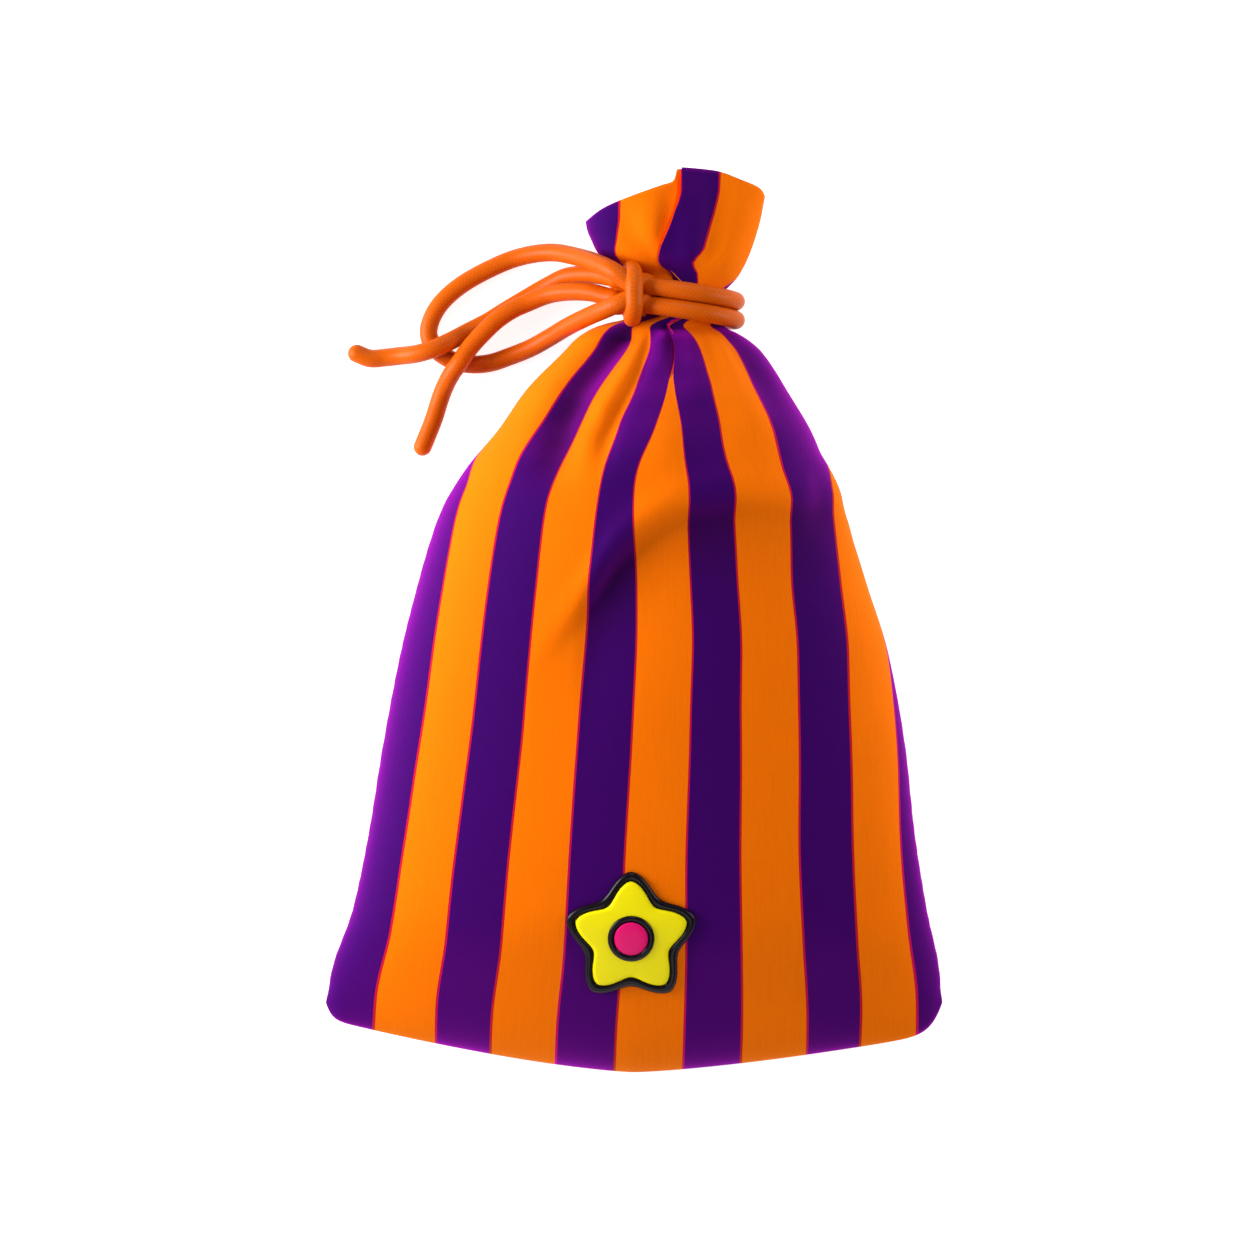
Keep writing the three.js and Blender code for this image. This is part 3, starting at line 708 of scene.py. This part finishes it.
# Stripe colours, thread relief and roughness of the cloth from its flat map, with painted shade darkening the
# colour in creases.
def stripeGroup():
    group, start, end = newGroup(
        "stripedWeave",
        [("Map", "NodeSocketVector"), ("Orange", "NodeSocketColor"), ("Purple", "NodeSocketColor"),
         ("Line", "NodeSocketColor"), ("Thread", "NodeSocketFloat", 0.0016),
         ("Roughness", "NodeSocketFloat", 0.7), ("Crease", "NodeSocketFloat", 0.0),
         ("CreaseShade", "NodeSocketFloat", 0.5)],
        [("Colour", "NodeSocketColor"), ("Height", "NodeSocketFloat"), ("Roughness", "NodeSocketFloat")])
    split = group.nodes.new("ShaderNodeSeparateXYZ")
    group.links.new(start.outputs["Map"], split.inputs[0])
    ramp = group.nodes.new("ShaderNodeValToRGB")  # red marks the orange stripes, green the lines
    ramp.color_ramp.interpolation = "CONSTANT"
    width, half = sack["panelWidth"], stripes["lineWidth"] / 2
    stops = [(0.0, (0, 0, 0, 1))]
    for k, edge in enumerate(sack["stripeEdges"][1:-1]):
        stops += [((edge - half) / width, (0, 1, 0, 1)), ((edge + half) / width, ((k + 1) % 2, 0, 0, 1))]
    elements = ramp.color_ramp.elements
    elements[0].position, elements[0].color = stops[0]
    elements[1].position, elements[1].color = stops[1]
    for position, shade in stops[2:]:
        elements.new(position).color = shade
    group.links.new(mathNode(group, "DIVIDE", split.outputs["X"], width), ramp.inputs["Fac"])
    marks = group.nodes.new("ShaderNodeSeparateColor")
    group.links.new(ramp.outputs["Color"], marks.inputs[0])
    striped = mixColour(group, marks.outputs["Red"], start.outputs["Purple"], start.outputs["Orange"])
    lined = mixColour(group, marks.outputs["Green"], striped, start.outputs["Line"])
    handled = placeGroup(group, handledShade, Colour=lined, Size=9.0, Amount=0.14)
    weave = placeGroup(group, clothWeave, Map=start.outputs["Map"], Thread=start.outputs["Thread"],
                       Slub=stripes["slub"])
    threadToneAndPaintedShade = mathNode(group, "ADD", mathNode(group, "MULTIPLY", weave.outputs["Shade"], 0.12), 0.94)
    # painted shade: the colour is darkened in folds and under the sagging shoulder, where shade falls; the
    # thread tone is real
    paintedDarkening = mathNode(group, "MULTIPLY", start.outputs["Crease"], start.outputs["CreaseShade"])
    threadToneAndPaintedShade = mathNode(group, "MULTIPLY", threadToneAndPaintedShade, mathNode(group, "SUBTRACT", 1.0, paintedDarkening))
    toned = group.nodes.new("ShaderNodeVectorMath")
    toned.operation = "SCALE"
    group.links.new(handled.outputs["Colour"], toned.inputs[0])
    group.links.new(threadToneAndPaintedShade, toned.inputs["Scale"])
    group.links.new(toned.outputs[0], end.inputs["Colour"])
    group.links.new(weave.outputs["Height"], end.inputs["Height"])
    uneven = mathNode(group, "MULTIPLY", mathNode(group, "SUBTRACT", handled.outputs["Mask"], 0.5), 0.12)
    group.links.new(mathNode(group, "ADD", uneven, start.outputs["Roughness"]), end.inputs["Roughness"])
    return group


stripedWeave = stripeGroup()


# One striped cloth material; its colour is darkened in creases by painted shade, and its sheen is a real
# shader lobe.
def stripedCloth(name, paintedShadeStrength, strength, roughness, tint):
    material, tree, shader = newMaterial(name)
    flatMap = tree.nodes.new("ShaderNodeUVMap")
    flatMap.uv_map = "clothMap"
    # the painted crease shade stored on the panel mesh
    paintedShade = tree.nodes.new("ShaderNodeAttribute")
    paintedShade.attribute_name = "paintedShade"
    cloth = placeGroup(tree, stripedWeave, Map=flatMap.outputs["UV"], Orange=stripes["orange"],
                       Purple=stripes["purple"], Line=stripes["line"], Thread=stripes["thread"],
                       Roughness=stripes["roughness"], Crease=paintedShade.outputs["Fac"], CreaseShade=paintedShadeStrength)
    tree.links.new(cloth.outputs["Colour"], shader.inputs["Base Color"])
    tree.links.new(cloth.outputs["Roughness"], shader.inputs["Roughness"])
    setShader(shader, **{"Sheen Weight": strength, "Sheen Roughness": roughness, "Sheen Tint": tint,
                         "Specular IOR Level": stripes["specular"]})
    bump(tree, shader, cloth.outputs["Height"], 0.35, 0.0004)


for materialName, shadeAndSheen in stripes["paintedShadeAndSheen"].items():
    stripedCloth(materialName, *shadeAndSheen)


def finishPanel(piece, node):
    solid = piece.modifiers.new("cloth", "SOLIDIFY")
    solid.thickness = sack["thickness"]
    solid.offset = -1
    finished(piece)
    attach(piece, "root")
    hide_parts(node)


filling = {
    "inset": [(-0.38, 0.0065), (0.05, 0.0075), (0.11, 0.014), (0.16, 0.022), (0.33, 0.022)],  # by level
    "top": 0.330,
    "lowest": 0.004,
    "columns": 90,
    "lump": 0.0012,
    "fibre": 90,  # fineness of its fibres
    "dark": (0.62, 0.60, 0.55, 1),
    "pale": (0.86, 0.85, 0.82, 1),
}


def makeFilling():
    levels = np.concatenate([sack["cornerLevel"] + 0.018 + 0.04 * np.linspace(0, 1, 10)**2,
                             np.linspace(sack["cornerLevel"] + 0.064, filling["top"], 60)])
    turns = np.linspace(0, 360, filling["columns"], endpoint=False)
    points = []
    for level in levels:
        x, y, z = sackPoint(turns, np.full(turns.shape, level), inset=through(filling["inset"], level))
        lump = filling["lump"] * (np.sin(turns / 11 + level * 60) + np.sin(turns / 17 - level * 90))
        depth = foldDepth(x, y) * (np.sin(np.radians(turns)) > 0)
        z = z + lump - np.maximum(depth, 0)
        points += list(zip(x, y, np.maximum(z, filling["lowest"])))
    count = len(turns)
    faces = [tuple(reversed(f)) for f in gridFaces(len(levels), count, around=True)]
    faces += [tuple(range(count)), tuple(reversed(range((len(levels) - 1) * count, len(levels) * count)))]
    piece = meshObject("filling", points, faces)
    material, tree, shader = newMaterial("loose fibre filling")
    noise = tree.nodes.new("ShaderNodeTexNoise")
    noise.inputs["Scale"].default_value = filling["fibre"]
    noise.inputs["Detail"].default_value = 6
    shade = mixColour(tree, noise.outputs["Fac"], filling["dark"], filling["pale"])
    tree.links.new(shade, shader.inputs["Base Color"])
    setShader(shader, **{"Roughness": 0.95, "Sheen Weight": 0.5})
    bump(tree, shader, noise.outputs["Fac"], 0.8, 0.004)
    piece.data.materials.append(material)
    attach(piece, "root")
    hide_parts("stuffing")


makeFilling()
finishPanel(frontPanel, "front_panel")
finishPanel(backPanel, "back_panel")
print("cloth and filling finished")


seam = {"stitches": 140, "wander": 1.5, "roughness": 0.85}


# Cloth of the turned-in seams, which keep their shape from the frame.
def seamCloth():
    material, tree, shader = newMaterial("overlocked seam")
    coordinates = tree.nodes.new("ShaderNodeTexCoord")
    wave = tree.nodes.new("ShaderNodeTexWave")
    wave.inputs["Scale"].default_value = seam["stitches"]
    wave.inputs["Distortion"].default_value = seam["wander"]
    tree.links.new(coordinates.outputs["Object"], wave.inputs["Vector"])
    shade = mixColour(tree, wave.outputs["Fac"], stripes["purple"], stripes["orange"])
    tree.links.new(shade, shader.inputs["Base Color"])
    setShader(shader, Roughness=seam["roughness"])
    bump(tree, shader, wave.outputs["Fac"], 0.5, 0.0006)
    return material


seamMaterial = seamCloth()
for node in ("left_side_seam", "right_side_seam", "bottom_seam"):
    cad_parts[node].data.materials.clear()
    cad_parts[node].data.materials.append(seamMaterial)


cordLook = {
    "shade": colour(212, 92, 0),
    # painted shade for the grooves between the plait's strands
    "paintedGrooveShade": colour(168, 62, 0),
    "roughness": 0.40,
    "strand": 0.0042,  # width of one plaited strand
    "lean": 0.75,
    "specular": 0.12,
}


def cordMaterial():
    material, tree, shader = newMaterial("smooth plaited cord")
    flatMap = tree.nodes.new("ShaderNodeUVMap")
    flatMap.uv_map = "clothMap"
    split = tree.nodes.new("ShaderNodeSeparateXYZ")
    tree.links.new(flatMap.outputs["UV"], split.inputs[0])
    lines = []
    for way in (1, -1):
        aside = mathNode(tree, "MULTIPLY", split.outputs["Y"], cordLook["lean"] * way)
        turns = mathNode(tree, "DIVIDE", mathNode(tree, "ADD", split.outputs["X"], aside), cordLook["strand"])
        ridge = mathNode(tree, "SINE", mathNode(tree, "MULTIPLY", turns, math.pi))
        lines.append(mathNode(tree, "ABSOLUTE", ridge))
    plait = mathNode(tree, "MULTIPLY", lines[0], lines[1])
    # painted shade: the grooves between strands are darkened, where shade falls
    depth = mixColour(tree, plait, cordLook["paintedGrooveShade"], cordLook["shade"])
    soft = mixColour(tree, 0.30, cordLook["shade"], depth)
    handled = placeGroup(tree, handledShade, Colour=soft, Size=26.0, Amount=0.22)
    tree.links.new(handled.outputs["Colour"], shader.inputs["Base Color"])
    setShader(shader, **{"Roughness": cordLook["roughness"], "Specular IOR Level": cordLook["specular"]})
    bump(tree, shader, plait, 0.18, 0.0005)
    return material


cordSkin = cordMaterial()
for piece in cordPieces:
    piece.data.materials.append(cordSkin)

wraps = {
    "neck": (0.047, 0.056),  # middle of the gathered neck, across and up
    "half": (0.0535, 0.0435),
    "tilt": -0.15,  # the cord slopes across the neck
    "levels": {"cord_wrap_upper": 0.3209, "cord_wrap_lower": 0.3025},
    "from": 152,  # degrees, from one side of the knot round to the other
    "to": -201,
    "rings": 90,
}


def makeWrap(node, level):
    line = []
    for a in np.radians(np.linspace(wraps["from"], wraps["to"], wraps["rings"])):
        x = wraps["neck"][0] + wraps["half"][0] * math.cos(a)
        z = wraps["neck"][1] + wraps["half"][1] * math.sin(a)
        line.append((x, level + wraps["tilt"] * (x - wraps["neck"][0]), z))
    piece = tubeMesh(node + "_turn", line, cord["diameter"] / 2)
    piece.data.materials.append(cordSkin)
    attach(piece, "root")
    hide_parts(node)


for node, level in wraps["levels"].items():
    makeWrap(node, level)

knot = {
    "crossing": [(-0.003, 0.343, 0.083), (-0.001, 0.339, 0.096), (0.000, 0.330, 0.1035),
                 (0.000, 0.318, 0.105), (0.000, 0.307, 0.1035), (-0.001, 0.299, 0.097),
                 (-0.002, 0.295, 0.086)],
    # the wraps' and the free cords' ends that meet under it
    "under": [
        [(0.012, 0.330, 0.090), (-0.004, 0.330, 0.092), (-0.016, 0.334, 0.090)],
        [(0.012, 0.311, 0.090), (-0.004, 0.310, 0.092), (-0.016, 0.306, 0.090)],
        [(-0.002, 0.331, 0.076), (-0.018, 0.332, 0.076)],
        [(-0.002, 0.313, 0.078), (-0.018, 0.313, 0.078)],
    ],
    "underShare": 0.97,  # thickness of those under strands, 1 = the cord's own
    "step": 0.002,
    "voxel": 0.0013,
    "middleHeight": 0.09,
}


def makeKnot():
    strands = [(knot["crossing"], 1)] + [(route, knot["underShare"]) for route in knot["under"]]
    tubes = []
    for route, share in strands:
        line, _ = smoothRoute(route, knot["step"])
        tubes.append(tubeMesh("knotStrand", line, cord["diameter"] / 2 * share))
    with bpy.context.temp_override(active_object=tubes[0], selected_editable_objects=tubes):
        bpy.ops.object.join()
    piece = tubes[0]
    piece.name = piece.data.name = "cord_knot_strands"
    remesh = piece.modifiers.new("oneSurface", "REMESH")
    remesh.mode = "VOXEL"
    remesh.voxel_size = knot["voxel"]
    smooth = piece.modifiers.new("soften", "SMOOTH")
    smooth.factor, smooth.iterations = 0.5, 5
    finished(piece)
    piece.data.polygons.foreach_set("use_smooth", [True] * len(piece.data.polygons))
    layer = piece.data.uv_layers.new(name="clothMap")
    flat = []
    for polygon in piece.data.polygons:
        for v in polygon.vertices:
            p = piece.data.vertices[v].co
            flat += [p.y, math.atan2(p.x, p.z - knot["middleHeight"]) * cord["diameter"] / 2]
    layer.data.foreach_set("uv", flat)
    piece.data.materials.clear()
    piece.data.materials.append(cordSkin)
    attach(piece, "root")
    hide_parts("cord_knot")


makeKnot()
print("neck cord and knot made")


patch = {
    "centre": (-0.003, -0.311),
    "radius": 0.066,
    "waist": 0.27,  # depth of the star's notches, 0 = round
    "edge": 0.009,  # black edge that shows round the yellow face
    "dot": 0.017,
    "dotEdge": 0.006,
    "points": 160,
    "specular": 0.12,
    "coatRoughness": 0.12,
    "black": colour(11, 5, 14),
    "yellow": colour(250, 234, 0),
    "pink": colour(232, 12, 110),
}


# Height of the front cloth over a plan point.
def frontHeight(x, y):
    left, right = through(sack["outlineLeft"], y), through(sack["outlineRight"], y)
    s = np.clip((x - left) / (right - left), 0, 1)
    up = np.clip((y - bottomAt(s)) / sack["bottomRound"], 0, 1)
    full = 2 * np.sqrt(s * (1 - s)) * np.sqrt(1 - (1 - up)**2)
    return through(sack["heights"], y, 1) + through(sack["heights"], y, 2) * full - foldDepth(x, y)


def starEdge(angle):
    return patch["radius"] * (1 - patch["waist"] * (0.5 - 0.5 * np.cos(5 * angle))**0.8)


# A soft-edged layer on the cloth; profile is (inset from its edge, lift), from the middle of the top
# out over the edge and back in underneath.
def patchPiece(name, node, material, radiusAt, profile):
    angles = np.linspace(0, 2 * math.pi, patch["points"], endpoint=False)
    points = []
    for inset, lift in profile:
        reach = radiusAt(angles) * (1 - inset) if inset > 0.5 else radiusAt(angles) - inset
        x = patch["centre"][0] + reach * np.sin(angles)
        y = patch["centre"][1] + reach * np.cos(angles)
        points += list(zip(x, y, frontHeight(x, y) + lift))
    faces = gridFaces(len(profile), len(angles), around=True)
    count = len(angles)
    faces += [tuple(reversed(range(count))), tuple(range((len(profile) - 1) * count, len(profile) * count))]
    piece = meshObject(name, points, faces)
    weldDoubles(piece)
    piece.data.materials.append(material)
    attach(piece, "root")
    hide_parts(node)


def patchMaterial(name, shade, roughness, coat):
    material, tree, shader = newMaterial(name)
    handled = placeGroup(tree, handledShade, Colour=shade, Size=60.0, Amount=0.08)
    tree.links.new(handled.outputs["Colour"], shader.inputs["Base Color"])
    setShader(shader, **{"Roughness": roughness, "Specular IOR Level": patch["specular"],
                         "Coat Weight": coat, "Coat Roughness": patch["coatRoughness"]})
    coordinates = tree.nodes.new("ShaderNodeTexCoord")
    grain = tree.nodes.new("ShaderNodeTexNoise")
    grain.inputs["Scale"].default_value = 700
    tree.links.new(coordinates.outputs["Object"], grain.inputs["Vector"])
    bump(tree, shader, grain.outputs["Fac"], 0.12, 0.0003)
    return material


def makePatch():
    black = patchMaterial("raised black edging", patch["black"], 0.40, 0.12)
    yellow = patchMaterial("yellow patch face", patch["yellow"], 0.50, 0.02)
    pink = patchMaterial("pink patch dot", patch["pink"], 0.45, 0.04)
    inner = [0.999, 0.85, 0.7, 0.55]  # shares of the way in, for the flat middle
    rim = [(0.0092, 0.0016), (0.0086, 0.0028), (0.0072, 0.0043), (0.0050, 0.0050), (0.0028, 0.0046),
           (0.0010, 0.0032), (0.0, 0.0016), (0.0004, 0.0006)]
    patchPiece("patch_backing_star", "patch_backing", black, starEdge,
               [(s, 0.0016) for s in inner] + rim + [(0.02, 0.0004)] + [(s, 0.0004) for s in reversed(inner)])
    edge = patch["edge"] + 0.0004
    face = [(edge + 0.0050, 0.0050), (edge + 0.0022, 0.0048), (edge + 0.0008, 0.0040), (edge, 0.0028),
            (edge + 0.0004, 0.0019)]
    patchPiece("patch_face_star", "patch_face", yellow, starEdge,
               [(s, 0.0050) for s in inner] + face + [(s, 0.0019) for s in reversed(inner)])
    dotEdge = patch["dot"] + patch["dotEdge"]
    ring = [(0.0060, 0.0056), (0.0052, 0.0068), (0.0036, 0.0077), (0.0020, 0.0073), (0.0008, 0.0064),
            (0.0002, 0.0054)]
    patchPiece("patch_dot_edging", "patch_dot_ring", black,
               lambda a: np.full(a.shape, dotEdge),
               [(0.999, 0.0056), (0.6, 0.0056)] + ring + [(0.6, 0.0052), (0.999, 0.0052)])
    dot = [(0.0030, 0.0078), (0.0012, 0.0074), (0.0003, 0.0066), (0.0006, 0.0059)]
    patchPiece("patch_dot_face", "patch_dot", pink,
               lambda a: np.full(a.shape, patch["dot"] - 0.0003),
               [(0.999, 0.0080), (0.6, 0.0080)] + dot + [(0.6, 0.0059), (0.999, 0.0059)])


makePatch()
print("star patch made")

studio = {
    "floorShade": (0.60, 0.60, 0.60, 1),
    "floorGlow": 0.85,
    "world": 0.13,
    # name, place, size, watts
    "lights": [
        ("left softbox", (-2.1, 0.3, 0.8), 1.3, 90),
        ("right softbox", (2.1, 0.3, 0.85), 1.3, 28),
        ("neck softbox", (0.3, 2.0, 1.5), 1.2, 16),
        ("foot softbox", (-0.4, -2.2, 1.3), 1.5, 15),
        ("top softbox", (0.0, 0.3, 2.8), 0.5, 3),
    ],
}


def makeStudio():
    bpy.ops.mesh.primitive_plane_add(size=60)
    floor = bpy.context.object
    floor.name = "studioFloor"
    material, tree, shader = newMaterial("pale floor")
    setShader(shader, **{"Base Color": studio["floorShade"], "Roughness": 0.9,
                         "Emission Color": (1, 1, 1, 1), "Emission Strength": studio["floorGlow"]})
    floor.data.materials.append(material)
    world = bpy.data.worlds.new("studio")
    world.use_nodes = True
    world.node_tree.nodes["Background"].inputs["Color"].default_value = (1, 1, 1, 1)
    world.node_tree.nodes["Background"].inputs["Strength"].default_value = studio["world"]
    scene.world = world
    for name, at, size, power in studio["lights"]:
        light = bpy.data.lights.new(name, "AREA")
        light.size = size
        light.energy = power
        rig = bpy.data.objects.new(name, light)
        rig.location = at
        rig.rotation_euler = (Vector((0, 0, 0.05)) - Vector(at)).to_track_quat("-Z", "Y").to_euler()
        scene.collection.objects.link(rig)
    scene.view_settings.view_transform = "Standard"


makeStudio()
print("studio made")
